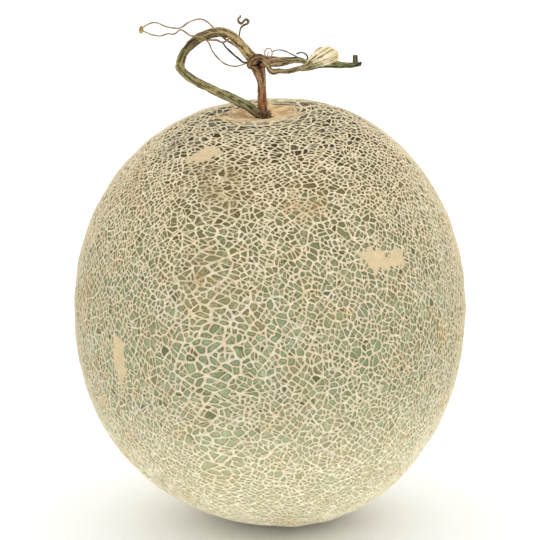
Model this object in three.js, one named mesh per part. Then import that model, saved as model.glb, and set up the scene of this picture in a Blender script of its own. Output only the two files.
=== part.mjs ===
// A cantaloupe melon standing on its blossom end, with its stalk, a short length of vine and tendrils.
//
// Units are millimetres and +Z is up. The melon rests on a small flat spot in the plane z = 0, and its
// axis is x = y = 0. The stalk leaves the crown towards -X, loops back over the melon and ends in the
// vine knot. The vine runs from the knot towards +X. The front of the melon faces -Y.

import * as THREE from 'three';

// Melon: a superellipse turned about the axis, a little fuller below its widest ring than above it.
const BODY_RADIUS = 77.6;
const UPPER_HEIGHT = 84.8;
const LOWER_HEIGHT = 86.7;
const BODY_EXPONENT = 2.09;
const FLAT_RADIUS = 12;

// The fruit leans: its two ends lie off the axis by these distances.
const CROWN_LEAN = 2;
const BLOSSOM_LEAN = 6;
const LEAN_POWER = 5;

// Its cross-section is very gently three-sided.
const LOBE_COUNT = 3;
const LOBE_DEPTH = 0.004;

// Dimple in the crown, where the stalk is joined.
const DIMPLE_DEPTH = 6;
const DIMPLE_RADIUS = 17;
const DIMPLE_X = -3;
const DIMPLE_Y = -6;

const PROFILE_STEPS = 36;
const BODY_SIDES = 64;

// Stalk and vine.
const STALK_RADIUS = 1.7;
const STALK_FOOT_RADIUS = 2.2;
const SHOOT_RADIUS = 1.65;
const KNOT_RADII = [3.6, 3.0, 3.2];
const UPPER_STRAND_RADIUS = 1.4;
const LOWER_STRAND_RADIUS = 1.1;
const VINE_END_RADIUS = 0.9;
const PEG_RADIUS = 0.95;
const PEG_HEIGHT = 2.7;
const LEAF_BASE_THICKNESS = 1.6;
const TENDRIL_RADIUS = 0.3;
const DARK_TENDRIL_RADIUS = 0.4;
const BUD_RADII = [1.1, 0.9, 1.3];
const RING_RADIUS = 1.5;

const STALK_SIDES = 12;
const STALK_STEP = 3;
const TENDRIL_SIDES = 6;
const TENDRIL_STEP = 1.6;

// Middle of the knot, which the stalk, shoot and vine strands stop just short of.
const KNOT = new THREE.Vector3(-4.4, 0, 184.9);

const RIND = new THREE.MeshStandardMaterial({ color: 0xc6be98, roughness: 0.75, metalness: 0 });
const GREEN_STALK = new THREE.MeshStandardMaterial({ color: 0x7d7a4b, roughness: 0.7, metalness: 0 });
const DRY_STEM = new THREE.MeshStandardMaterial({ color: 0x8a6845, roughness: 0.85, metalness: 0 });
const VINE = new THREE.MeshStandardMaterial({ color: 0x8d7f56, roughness: 0.8, metalness: 0 });
const PAPERY_LEAF = new THREE.MeshStandardMaterial({ color: 0xd3c49a, roughness: 0.9, metalness: 0 });
const TENDRIL = new THREE.MeshStandardMaterial({ color: 0x8c7a5c, roughness: 0.8, metalness: 0 });

const melonWithStalk = new THREE.Group();
melonWithStalk.name = 'cantaloupe_melon';

function addPiece(name, geometry, material) {
  const mesh = new THREE.Mesh(geometry, material);
  mesh.name = name;
  melonWithStalk.add(mesh);
  return mesh;
}

// Half outline of the melon, from the middle of the flat spot up to the crown, as (radius, height) with
// the widest ring at height 0.
function bodyProfile() {
  const power = 2 / BODY_EXPONENT;
  const startAngle = -Math.acos((FLAT_RADIUS / BODY_RADIUS) ** (1 / power));
  const flatHeight = -LOWER_HEIGHT * Math.sin(-startAngle) ** power;
  const profile = [new THREE.Vector2(0, flatHeight)];
  for (let step = 0; step < PROFILE_STEPS; step += 1) {
    const angle = THREE.MathUtils.lerp(startAngle, Math.PI / 2, step / PROFILE_STEPS);
    const height = angle < 0 ? -LOWER_HEIGHT : UPPER_HEIGHT;
    const radius = BODY_RADIUS * Math.cos(angle) ** power;
    profile.push(new THREE.Vector2(radius, height * Math.abs(Math.sin(angle)) ** power));
  }
  profile.push(new THREE.Vector2(0, UPPER_HEIGHT));
  return profile;
}

// Turns the outline about the axis, then adds the lobes, the lean and the dimple.
function melonGeometry() {
  const profile = bodyProfile();
  const flatHeight = profile[0].y;
  const geometry = new THREE.LatheGeometry(profile, BODY_SIDES);
  geometry.rotateX(Math.PI / 2);
  const position = geometry.attributes.position;
  for (let index = 0; index < position.count; index += 1) {
    const height = position.getZ(index);
    const turn = Math.atan2(position.getY(index), position.getX(index));
    const lobe = 1 + LOBE_DEPTH * Math.cos(LOBE_COUNT * turn + Math.PI / 2);
    const lean = height > 0
      ? CROWN_LEAN * (height / UPPER_HEIGHT) ** LEAN_POWER
      : BLOSSOM_LEAN * (-height / LOWER_HEIGHT) ** LEAN_POWER;
    const x = position.getX(index) * lobe + lean;
    const y = position.getY(index) * lobe;
    const fromDimple = Math.hypot(x - DIMPLE_X, y - DIMPLE_Y) / DIMPLE_RADIUS;
    const dimple = height > 0 ? DIMPLE_DEPTH * Math.exp(-(fromDimple ** 2)) : 0;
    position.setXYZ(index, x, y, height - dimple - flatHeight);
  }
  geometry.computeVertexNormals();
  return geometry;
}

// A round stem along a smooth curve through the route's points. radii are spread evenly along it.
function stemGeometry(route, radii, sides, stepLength) {
  const curve = new THREE.CatmullRomCurve3(route.map((point) => new THREE.Vector3(...point)));
  const steps = Math.max(4, Math.round(curve.getLength() / stepLength));
  const section = new THREE.Shape();
  for (let side = 0; side < sides; side += 1) {
    const turn = (2 * Math.PI * side) / sides;
    const corner = [radii[0] * Math.cos(turn), radii[0] * Math.sin(turn)];
    if (side === 0) {
      section.moveTo(...corner);
    } else {
      section.lineTo(...corner);
    }
  }
  section.closePath();
  const geometry = new THREE.ExtrudeGeometry(section, { steps, extrudePath: curve });
  taper(geometry, curve.getSpacedPoints(steps), radii);
  return geometry;
}

// Scales each ring of an extruded stem about its own middle, so that the stem follows the radii.
function taper(geometry, middles, radii) {
  const position = geometry.attributes.position;
  const point = new THREE.Vector3();
  for (let index = 0; index < position.count; index += 1) {
    point.fromBufferAttribute(position, index);
    let nearest = 0;
    middles.forEach((middle, ring) => {
      if (middle.distanceTo(point) < middles[nearest].distanceTo(point)) {
        nearest = ring;
      }
    });
    const along = (nearest / (middles.length - 1)) * (radii.length - 1);
    const before = Math.min(Math.floor(along), radii.length - 2);
    const radius = THREE.MathUtils.lerp(radii[before], radii[before + 1], along - before);
    point.sub(middles[nearest]).multiplyScalar(radius / radii[0]).add(middles[nearest]);
    position.setXYZ(index, point.x, point.y, point.z);
  }
  geometry.computeVertexNormals();
}

function addStem(name, route, radii, material) {
  return addPiece(name, stemGeometry(route, radii, STALK_SIDES, STALK_STEP), material);
}

function addTendril(name, route, radius) {
  const geometry = stemGeometry(route, [radius, radius], TENDRIL_SIDES, TENDRIL_STEP);
  return addPiece(name, geometry, TENDRIL);
}

function addEllipsoid(name, middle, radii, material) {
  const mesh = addPiece(name, new THREE.SphereGeometry(1, 16, 12), material);
  mesh.scale.set(...radii);
  mesh.position.copy(middle);
  return mesh;
}

// Papery foot of a withered leaf: a fan that opens upwards to the right, in front of the vine.
function leafBaseGeometry() {
  const outline = new THREE.Shape();
  outline.moveTo(14.3, 184.0);
  outline.quadraticCurveTo(16.4, 181.8, 22.4, 184.0);
  outline.lineTo(27.0, 186.4);
  outline.lineTo(25.8, 191.3);
  outline.lineTo(19.8, 191.5);
  outline.quadraticCurveTo(17.2, 189.6, 14.3, 185.3);
  outline.closePath();
  const geometry = new THREE.ExtrudeGeometry(outline, {
    depth: LEAF_BASE_THICKNESS,
    bevelEnabled: false,
    curveSegments: 6,
  });
  geometry.rotateX(Math.PI / 2);
  geometry.translate(0, -0.4, 0);
  return geometry;
}

addPiece('melon', melonGeometry(), RIND);

const stalkRoute = [
  [-5.6, -6.9, 167.1],
  [-11.8, -6.5, 170.3],
  [-21.5, -5.9, 174.8],
  [-28.0, -5.4, 177.8],
  [-32.8, -5.0, 180.4],
  [-34.9, -4.2, 184.0],
  [-34.2, -3.5, 187.3],
  [-32.3, -2.5, 190.7],
  [-28.5, -1.6, 194.3],
  [-24.8, -1.0, 196.6],
  [-20.5, -0.5, 197.4],
  [-16.4, -0.2, 196.4],
  [-12.4, 0, 194.1],
  [-7.0, 0, 187.8],
];
addStem('fruit_stalk', stalkRoute, [STALK_FOOT_RADIUS, STALK_RADIUS, STALK_RADIUS, STALK_RADIUS], GREEN_STALK);

const shootRoute = [
  [-3.0, -4.4, 165.5],
  [-3.0, -3.3, 170],
  [-3.1, -1.5, 175.5],
  [-4.0, -0.1, 181.2],
];
addStem('dry_shoot', shootRoute, [SHOOT_RADIUS, SHOOT_RADIUS], DRY_STEM);

addEllipsoid('vine_knot', KNOT, KNOT_RADII, DRY_STEM);

const upperStrandRoute = [
  [-0.3, 0, 185.9],
  [4.5, -0.4, 185.6],
  [9.5, -0.1, 186.0],
  [14.0, 0.5, 185.6],
];
addStem('vine_upper_strand', upperStrandRoute, [UPPER_STRAND_RADIUS, UPPER_STRAND_RADIUS], VINE);

const lowerStrandRoute = [
  [-0.9, -0.2, 182.6],
  [0.8, -0.3, 181.5],
  [3.4, -0.4, 181.0],
  [8.2, -0.7, 181.6],
  [13.4, -1.2, 183.0],
];
addStem('vine_lower_strand', lowerStrandRoute, [LOWER_STRAND_RADIUS, LOWER_STRAND_RADIUS], VINE);

addPiece('dried_leaf_base', leafBaseGeometry(), PAPERY_LEAF);

const vineEndRoute = [
  [15.0, 1.0, 184.9],
  [21.8, 0.9, 184.2],
  [28.0, 0.9, 183.7],
  [35.6, 0.9, 184.2],
];
addStem('vine_end', vineEndRoute, [VINE_END_RADIUS, VINE_END_RADIUS], VINE);

const peg = addPiece('vine_peg', new THREE.CylinderGeometry(PEG_RADIUS, PEG_RADIUS, PEG_HEIGHT, STALK_SIDES), VINE);
peg.rotation.x = Math.PI / 2;
peg.position.set(33.6, 0.9, 185.4 + PEG_HEIGHT / 2);

addEllipsoid('tendril_bud', new THREE.Vector3(-50.4, 0, 197.7), BUD_RADII, TENDRIL);

const upperTendrilRoute = [
  [-49.0, 0.5, 199.0],
  [-45.7, 0.6, 200.4],
  [-43.2, 0.6, 200.1],
  [-39.5, 0.6, 198.5],
  [-35.4, 0.6, 198.2],
  [-32.5, 0.6, 200.0],
  [-29.8, 0.6, 201.4],
  [-26.7, 0.8, 201.8],
  [-24.8, 1.6, 200.9],
  [-22.3, 2.6, 199.0],
];
addTendril('tendril_upper', upperTendrilRoute, TENDRIL_RADIUS);

const lowerTendrilRoute = [
  [-49.0, -0.5, 196.9],
  [-46.2, -0.6, 195.8],
  [-43.1, -0.6, 195.4],
  [-39.9, -0.6, 196.2],
  [-36.8, -0.7, 196.6],
  [-34.3, -2.4, 197.4],
  [-31.0, -4.8, 196.2],
  [-27.8, -4.6, 195.5],
  [-24.9, -4.2, 194.2],
  [-23.4, -3.0, 192.3],
  [-22.1, -1.2, 189.1],
  [-19.6, -0.4, 185.9],
  [-16.7, 0, 183.9],
  [-13.6, 0, 183.4],
  [-9.2, 0, 184.6],
];
addTendril('tendril_lower', lowerTendrilRoute, TENDRIL_RADIUS);

addTendril('tendril_inner', [[-23.0, -1.6, 193.6], [-20.9, -1.2, 193.5], [-18.6, -1.2, 192.7], [-16.6, -1.2, 193.2]],
  TENDRIL_RADIUS);
addTendril('tendril_thin', [[-18.8, 1.6, 194.6], [-15.4, 1.6, 192.2], [-11.9, 1.4, 189.5], [-9.7, 1.0, 186.9]],
  TENDRIL_RADIUS);
addTendril('tendril_dark', [[-18.7, 0.4, 192.2], [-15.7, 0.4, 189.1], [-12.6, 0.2, 186.6], [-9.8, 0.4, 185.6]],
  DARK_TENDRIL_RADIUS);

const curlRoute = [
  [-11.2, 0, 197.0],
  [-10.8, 0.3, 199.0],
  [-8.8, 0.7, 200.3],
  [-8.9, 0.4, 201.5],
  [-11.0, -0.2, 201.0],
  [-12.4, -0.5, 202.2],
  [-11.6, -0.6, 203.5],
];
addTendril('tendril_curl', curlRoute, TENDRIL_RADIUS);

const ring = addPiece('tendril_ring', new THREE.TorusGeometry(RING_RADIUS, TENDRIL_RADIUS, TENDRIL_SIDES, 16), TENDRIL);
ring.rotation.x = Math.PI / 2;
ring.position.set(-0.2, -0.4, 189.5);

addTendril('tendril_arc', [[2.1, 0, 188.2], [3.4, 0, 189.6], [6.1, 0, 189.3], [8.4, 0, 188.0]], TENDRIL_RADIUS);
addTendril('tendril_hook', [[10.4, 0, 188.4], [12.2, 0, 189.1], [13.9, 0, 188.8], [14.6, 0, 187.7]], TENDRIL_RADIUS);

export default melonWithStalk;
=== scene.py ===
"""Looks of a netted cantaloupe melon with its looped stalk, a short piece of vine and dry tendrils.

Shapes are worked out in millimetres in the CAD frame and put into Blender in metres. The melon rests on
the plane z = 0 and its front faces -Y. Longitude is 0 at the front and grows towards +X.
"""

import math

import bpy
import numpy as np
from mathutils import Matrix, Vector, kdtree


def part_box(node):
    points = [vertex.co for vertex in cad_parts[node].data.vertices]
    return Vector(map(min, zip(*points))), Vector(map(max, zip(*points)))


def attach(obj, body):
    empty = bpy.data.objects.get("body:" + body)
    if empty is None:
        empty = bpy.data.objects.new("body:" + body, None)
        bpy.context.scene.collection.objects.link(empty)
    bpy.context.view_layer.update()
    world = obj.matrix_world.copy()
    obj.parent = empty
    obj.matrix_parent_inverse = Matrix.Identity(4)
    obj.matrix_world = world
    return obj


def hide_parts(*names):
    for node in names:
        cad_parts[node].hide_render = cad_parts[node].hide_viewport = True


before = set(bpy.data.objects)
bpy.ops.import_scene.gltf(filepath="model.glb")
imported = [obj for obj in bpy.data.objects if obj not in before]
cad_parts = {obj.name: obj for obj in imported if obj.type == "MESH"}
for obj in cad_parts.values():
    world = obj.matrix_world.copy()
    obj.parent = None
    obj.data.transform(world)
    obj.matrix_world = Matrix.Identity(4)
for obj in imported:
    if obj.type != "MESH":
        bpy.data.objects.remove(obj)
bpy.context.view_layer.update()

MM = 0.001

# Camera: looks from the front and a little above.
CAMERA_DISTANCE = 900
CAMERA_ELEVATION = math.radians(14)
CAMERA_LENS = 150
CAMERA_AIM_RAISE = 15.6

# Strength of the white surround, and of its part behind the camera. The change between them lies
# between two cosines of the angle from the front. A soft lamp stands low in front.
SURROUND_LIGHT = 1.35
CAMERA_SIDE_LIGHT = 0.68
SURROUND_CHANGE = (0.1, 0.95)
LAMP_PLACE = (0.12, -0.9, 0.03)
LAMP_SIZE = 0.5
LAMP_WATTS = 3.1
FLOOR_HALF_SIZE = 6.0

# Melon without its net, as in the CAD: a superellipse turned about the axis.
BODY_RADIUS = 77.6
UPPER_HEIGHT = 84.8
LOWER_HEIGHT = 86.7
BODY_EXPONENT = 2.09
FLAT_RADIUS = 12
CROWN_LEAN = 2
BLOSSOM_LEAN = 6
LEAN_POWER = 5
LOBE_COUNT = 3
LOBE_DEPTH = 0.004
DIMPLE_DEPTH = 6
DIMPLE_RADIUS = 17
DIMPLE_X = -3
DIMPLE_Y = -6

# Height of the melon's widest ring above the spot it rests on.
WIDEST_HEIGHT = LOWER_HEIGHT * (1 - (FLAT_RADIUS / BODY_RADIUS) ** BODY_EXPONENT) ** (1 / BODY_EXPONENT)

# Grid squares along each side of the melon's six faces, and the margin of each face on the UV map.
MESH_STEPS = 420
UV_MARGIN = 0.004

# Net: main ridges round large cells, which finer ridges split into small ones. Some small cells have a rung
# across them, and a few borders between them are missing.
NET_RADIUS = 81
MAIN_PITCH = 5.2
FINE_PITCH = 1.80
MAIN_SEED, FINE_SEED, RUNG_SEED = 3, 4, 5
PACKING = 0.866
SEED_JITTER = 0.20
BORDER_CLEARANCE = 0.55
MAIN_HALF_WIDTH = (0.28, 0.44)
FINE_HALF_WIDTH = (0.20, 0.34)
RUNG_HALF_WIDTH = 0.13
RUNG_SPREAD = 0.18
RUNG_SHARE = 0.25
MISSING_SHARE = 0.03
MISSING_HALF_WIDTH = -0.25
CORNER_SHARPNESS = 7
NO_RIDGE = 9

# Height of the ridges, the width of their shoulders, how far the net is let into the melon, the swelling of
# the skin inside the cells, and the height of smooth cork as a share of a ridge's.
RIDGE_HEIGHT = 0.42
RIDGE_SHOULDER = 0.30
NET_SINK = 0.21
PILLOW_HEIGHT = 0.10
PILLOW_REACH = 0.8
CORK_HEIGHT = 0.8

# Cells grow flatter between these latitudes, and ridges thinner between these sines of the latitude.
CROWN_SQUEEZE = 0.13
CROWN_SQUEEZE_FROM, CROWN_SQUEEZE_TO = math.radians(36), math.radians(70)
CROWN_THINNING = 0.30
CROWN_THINNING_FROM, CROWN_THINNING_TO = 0.80, 0.95

# Wander of the net: amount, seed and wavelength.
NET_WANDER = ((0.07, 30, 4.2), (0.16, 40, 17), (0.7, 50, 60))

# Bands of longitude where cells are wider (positive) or narrower (negative): middle and half-width in
# degrees, and the amount. They fade out towards the crown and the base, between two latitudes.
BAND_FADE_FROM, BAND_FADE_TO = math.radians(35), math.radians(75)
LONGITUDE_BANDS = (
    (-17, 8, 0.50),
    (15, 14, 0.10),
    (-50, 20, -0.25),
    (52, 22, -0.28),
    (95, 14, 0.22),
    (140, 20, -0.22),
    (178, 10, 0.34),
    (-135, 22, -0.20),
    (-95, 12, 0.25),
)

# Smooth corky scars: longitude in degrees, height above the floor, half-width, half-height and tilt.
SCARS = (
    (-32, 157.0, 7.2, 3.4, 30),
    (32.3, 121.4, 5.2, 4.6, 0),
    (36.8, 120.2, 3.0, 1.8, 0),
    (41.2, 120.4, 3.6, 3.0, 0),
    (-47, 78, 3.0, 8.4, 0),
    (128, 96, 3.2, 4.6, 20),
    (-150, 60, 4.4, 2.6, -15),
)
SCAR_REACH_IN = 12
CROWN_ZONE_RADIUS = 14
CROWN_ZONE_BLUR = 2.5
BLOSSOM_SCAR_RADIUS = 7

# The smooth cork's edge, as a share of its size: none outside, full inside.
CORK_EDGE = (1.12, 0.9)

# Noises, as (amount, seed, wavelength), that move the edges of the cork and raise it and the whole melon.
CORK_EDGE_WANDER = ((0.22, 60, 5), (0.10, 61, 2.2))
CROWN_EDGE_WANDER = ((2.0, 62, 9), (0.9, 63, 3.5))
CORK_BUMPS = ((0.05, 64, 3),)
MELON_BUMPS = ((0.10, 65, 14),)

# Where the rind's colours change: by share of the melon's height, by distance outside the nearest ridge,
# and by a cell's tone. Low down the rind is paler, partly its own paler skin and partly painted light from
# below. High up the floors are browner, partly their own colour and partly painted shade in the deep slits,
# and the ridges are lighter with painted light from above. On the crown's slope the floors hold painted
# shade. Ridge crests carry a painted highlight, the floor beside each ridge's foot carries painted shade,
# and some cells, picked by tone, carry painted shade in their deep pits.
LOW_DOWN = (0.50, 0.08)
HIGH_UP = (0.55, 0.95)
CROWN_SLOPE = (0.85, 0.96)
ON_RIDGE = (0.05, -0.06)
CREST_HIGHLIGHT = (-0.03, -0.22)
RIDGE_FOOT_SHADE = (0.24, 0.02)
SHADED_PIT_TONE = (0.86, 0.94)

# Discoloured patches: longitude, height above the floor, reach, colour and strength.
BLOTCHES = (
    (-20, 116, 15, (150, 116, 68), 0.40),
    (-20, 147, 20, (138, 108, 60), 0.38),
    (-54, 158, 13, (92, 92, 84), 0.40),
    (12, 140, 14, (176, 140, 90), 0.35),
    (100, 70, 20, (158, 118, 68), 0.40),
    (-120, 130, 18, (150, 112, 66), 0.40),
    (170, 112, 16, (156, 116, 68), 0.45),
)

# Points worked out between two given points of a stem's route.
ROUTE_STEPS = 40

# Grain of the stems: the radius of the drum it is wrapped round, its shrink along the stem, its
# wavelength, and what is added to the stem's seed.
STREAKS = (2.2, 0.22, 1.0, 0)
FIBRES = (2.2, 0.22, 0.42, 5000)
BUMPS = (0.5, 0.25, 1.2, 1)
FIBRE_SHARE = 0.5

# Power that squares off the stems' ridges, and the share of its radius left at a stem's tip.
RIDGE_POWER = 0.7
TIP_SHARE = 0.02

# Parts of the ridges, the streaks and the fibres in how light a stem is painted: crests lighter and grooves
# darker, which is painted highlight and painted shade, along with the stems' own streaks.
LIGHT_PARTS = (0.38, 0.32, 0.26)


class SmoothNoise:
    """A soft, repeatable noise of about -2 to 2: a sum of waves in many directions."""

    def __init__(self, seed, wavelength, waves=14):
        rng = np.random.default_rng(seed)
        directions = rng.normal(size=(waves, 3))
        directions /= np.linalg.norm(directions, axis=1)[:, None]
        self.waves = directions * rng.uniform(0.7, 1.5, (waves, 1)) * 2 * np.pi / wavelength
        self.phases = rng.uniform(0, 2 * np.pi, waves)

    def __call__(self, points):
        return np.sin(points @ self.waves.T + self.phases).sum(1) * math.sqrt(2 / len(self.phases))


def sum_of_noises(points, noises):
    """The sum of noises given as (amount, seed, wavelength)."""
    return sum(amount * SmoothNoise(seed, wavelength)(points) for amount, seed, wavelength in noises)


def smooth_step(value, low, high):
    share = np.clip((value - low) / (high - low), 0, 1)
    return share * share * (3 - 2 * share)


# ---- Meshes ----

def mesh_object(name, points, quads, attributes, triangles=()):
    """Makes a smooth-shaded object from points in millimetres and faces."""
    quads = np.asarray(quads, dtype=np.int32).reshape(-1, 4)
    triangles = np.asarray(triangles, dtype=np.int32).reshape(-1, 3)
    sizes = np.repeat([4, 3], [len(quads), len(triangles)])
    mesh = bpy.data.meshes.new(name)
    mesh.vertices.add(len(points))
    mesh.vertices.foreach_set("co", (np.asarray(points, dtype=np.float32) * MM).ravel())
    mesh.loops.add(int(sizes.sum()))
    mesh.loops.foreach_set("vertex_index", np.concatenate([quads.ravel(), triangles.ravel()]))
    mesh.polygons.add(len(sizes))
    mesh.polygons.foreach_set("loop_start", (np.cumsum(sizes) - sizes).astype(np.int32))
    mesh.polygons.foreach_set("use_smooth", np.ones(len(sizes), dtype=bool))
    mesh.update(calc_edges=True)
    for attribute, values in attributes.items():
        layer = mesh.attributes.new(attribute, "FLOAT", "POINT")
        layer.data.foreach_set("value", np.asarray(values, dtype=np.float32))
    mesh.validate()
    piece = bpy.data.objects.new(name, mesh)
    bpy.context.scene.collection.objects.link(piece)
    return piece


def cube_sphere(steps):
    """Unit directions, quads and their UV map places for a cube's grid swelled into a sphere."""
    line = np.arange(steps + 1)
    first, second = (part.ravel() for part in np.meshgrid(line, line, indexing="ij"))
    corner = (line[:-1, None] * (steps + 1) + line[None, :-1]).ravel()
    grid_quads = np.stack([corner, corner + steps + 1, corner + steps + 2, corner + 1], 1)
    across, up = (UV_MARGIN + (1 - 2 * UV_MARGIN) * part / steps for part in (first, second))
    lattice, quads, places = [], [], []
    for side in range(6):
        axis, far = side % 3, side // 3
        spot = np.empty((len(first), 3), dtype=np.int64)
        spot[:, axis] = far * steps
        spot[:, (axis + 1) % 3] = first
        spot[:, (axis + 2) % 3] = second
        lattice.append(spot)
        quads.append((grid_quads if far else grid_quads[:, ::-1]) + side * len(first))
        places.append(np.stack([(axis + across) / 3, (far + up) / 2], 1))
    lattice, quads, places = np.concatenate(lattice), np.concatenate(quads), np.concatenate(places)
    unique, shared = np.unique(lattice, axis=0, return_inverse=True)
    directions = np.tan((unique / steps * 2 - 1) * math.pi / 4)
    directions /= np.linalg.norm(directions, axis=1)[:, None]
    return directions, shared.ravel()[quads], places[quads.ravel()]


# ---- Melon ----

def body_points(directions):
    """The melon without its net, with the widest ring at height 0, for unit directions."""
    power = 2 / BODY_EXPONENT
    sine = directions[:, 2]
    radius = BODY_RADIUS * np.sqrt(np.maximum(1 - sine**2, 0)) ** power
    height = np.where(sine > 0, UPPER_HEIGHT, -LOWER_HEIGHT) * np.abs(sine) ** power
    turn = np.arctan2(directions[:, 1], directions[:, 0])
    radius = radius * (1 + LOBE_DEPTH * np.cos(LOBE_COUNT * turn + math.pi / 2))
    lean = np.where(
        sine > 0,
        CROWN_LEAN * np.abs(height / UPPER_HEIGHT) ** LEAN_POWER,
        BLOSSOM_LEAN * np.abs(height / LOWER_HEIGHT) ** LEAN_POWER,
    )
    x = radius * np.cos(turn) + lean
    y = radius * np.sin(turn)
    from_dimple = np.hypot(x - DIMPLE_X, y - DIMPLE_Y) / DIMPLE_RADIUS
    height = height - np.where(sine > 0, DIMPLE_DEPTH * np.exp(-(from_dimple**2)), 0)
    return np.stack([x, y, height], 1)


def body_normals(points):
    """Outward unit vectors of a plain ellipsoid, which are close enough to raise the net along."""
    normals = points / np.array([BODY_RADIUS, BODY_RADIUS, UPPER_HEIGHT]) ** 2
    return normals / np.linalg.norm(normals, axis=1)[:, None]


def surface_point(longitude, height):
    """The point on the melon's plain surface at a longitude in degrees and a height above the floor."""
    share = abs(height - WIDEST_HEIGHT) / (UPPER_HEIGHT if height > WIDEST_HEIGHT else LOWER_HEIGHT)
    radius = BODY_RADIUS * (1 - share**BODY_EXPONENT) ** (1 / BODY_EXPONENT)
    turn = math.radians(longitude)
    return radius * math.sin(turn), -radius * math.cos(turn), height


def longitude_and_latitude(directions):
    return np.arctan2(directions[:, 0], -directions[:, 1]), np.arcsin(np.clip(directions[:, 2], -1, 1))


def net_space(directions):
    """Places on a sphere where the net's cells are even, which is stretched where the melon's are fine."""
    upper = np.maximum(directions[:, 2:], 0)
    centred = directions - upper * np.array([DIMPLE_X, DIMPLE_Y, 0]) / UPPER_HEIGHT
    centred /= np.linalg.norm(centred, axis=1)[:, None]
    longitude, latitude = longitude_and_latitude(centred)
    even_longitude = longitude.copy()
    fade = smooth_step(np.abs(latitude), BAND_FADE_TO, BAND_FADE_FROM)
    for middle, half_width, amount in LONGITUDE_BANDS:
        turn = (longitude - math.radians(middle) + math.pi) % (2 * math.pi) - math.pi
        reach = math.radians(half_width)
        even_longitude += fade * amount * reach * (turn / math.pi - np.tanh(turn / reach))
    even_latitude = latitude + CROWN_SQUEEZE * smooth_step(latitude, CROWN_SQUEEZE_FROM, CROWN_SQUEEZE_TO)
    flat = np.cos(even_latitude)
    places = NET_RADIUS * np.stack(
        [flat * np.sin(even_longitude), -flat * np.cos(even_longitude), np.sin(even_latitude)], 1)
    for axis in range(3):
        for amount, seed, wavelength in NET_WANDER:
            places[:, axis] += amount * SmoothNoise(seed + axis, wavelength)(places)
    return places


def scattered_seeds(pitch, seed):
    """Points spread evenly but not regularly over the net's sphere."""
    rng = np.random.default_rng(seed)
    count = int(4 * math.pi * NET_RADIUS**2 / (PACKING * pitch**2))
    order = np.arange(count)
    height = 1 - (2 * order + 1) / count
    turn = order * math.pi * (3 - math.sqrt(5))
    flat = np.sqrt(1 - height**2)
    seeds = NET_RADIUS * np.stack([flat * np.cos(turn), flat * np.sin(turn), height], 1)
    seeds += rng.normal(scale=SEED_JITTER * pitch, size=seeds.shape)
    return seeds * (NET_RADIUS / np.linalg.norm(seeds, axis=1))[:, None]


def nearest(seeds, points, count):
    """Numbers of the nearest seeds to each point, nearest first."""
    tree = kdtree.KDTree(len(seeds))
    for number, seed in enumerate(seeds.tolist()):
        tree.insert(seed, number)
    tree.balance()
    return np.array([[hit[1] for hit in tree.find_n(point, count)] for point in points.tolist()])


def pair_random(one, other):
    """A repeatable number from 0 to 1 for a pair of seeds, the same whichever comes first."""
    mixed = np.sin((one + other) * 12.9898 + (one * 1.0 * other % 9973) * 78.233) * 43758.5453
    return mixed - np.floor(mixed)


def to_border(points, own, other):
    """Distance from points to the plane midway between their own seed and another."""
    apart = np.linalg.norm(other - own, axis=-1)
    nearer = ((points - other) ** 2).sum(-1) - ((points - own) ** 2).sum(-1)
    return nearer / (2 * np.maximum(apart, 1e-6))


def group_by_cell(cells, cell_count):
    """The numbers of the points in each cell, given each point's cell."""
    order = np.argsort(cells, kind="stable")
    return np.split(order, np.searchsorted(cells[order], np.arange(1, cell_count)))


def spread(half_widths, chance):
    low, high = half_widths
    return low + (high - low) * chance


class FineCells:
    """The small cells inside each main cell, with a tone for each and a rung across some."""

    def __init__(self, main_seeds):
        seeds = scattered_seeds(FINE_PITCH, FINE_SEED)
        owners = nearest(main_seeds, seeds, 2)
        clear = to_border(seeds, main_seeds[owners[:, 0]], main_seeds[owners[:, 1]]) > BORDER_CLEARANCE
        self.seeds = seeds[clear]
        self.groups = group_by_cell(owners[clear, 0], len(main_seeds))
        rng = np.random.default_rng(RUNG_SEED)
        self.rung_ways = rng.normal(size=self.seeds.shape)
        self.has_rung = rng.random(len(self.seeds)) < RUNG_SHARE
        self.rung_offsets = rng.normal(scale=RUNG_SPREAD * FINE_PITCH, size=len(self.seeds))
        self.tones = rng.random(len(self.seeds))

    def rung_gaps(self, here, own):
        """How far places lie outside the rung of their own small cell."""
        seeds = self.seeds[own]
        ways = self.rung_ways[own]
        ways = ways - seeds * ((ways * seeds).sum(1) / NET_RADIUS**2)[:, None]
        ways /= np.linalg.norm(ways, axis=1)[:, None]
        across = np.abs(((here - seeds) * ways).sum(1) - self.rung_offsets[own])
        return np.where(self.has_rung[own], across - RUNG_HALF_WIDTH, NO_RIDGE)

    def edges(self, cell, here, thin):
        """How far places in a main cell lie outside each fine ridge there, and their tones."""
        inside = self.groups[cell]
        if not len(inside):
            return np.empty((len(here), 0)), 0.5
        seeds = self.seeds[inside]
        closest = ((here[:, None] - seeds) ** 2).sum(2).argmin(1)
        own = inside[closest]
        chance = pair_random(own[:, None], inside[None, :])
        width = spread(FINE_HALF_WIDTH, chance) * thin[:, None]
        width[chance < MISSING_SHARE] = MISSING_HALF_WIDTH
        gaps = to_border(here[:, None], seeds[closest][:, None], seeds[None, :]) - width
        gaps[np.arange(len(here)), closest] = NO_RIDGE
        return np.concatenate([gaps, self.rung_gaps(here, own)[:, None]], 1), self.tones[own]


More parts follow.
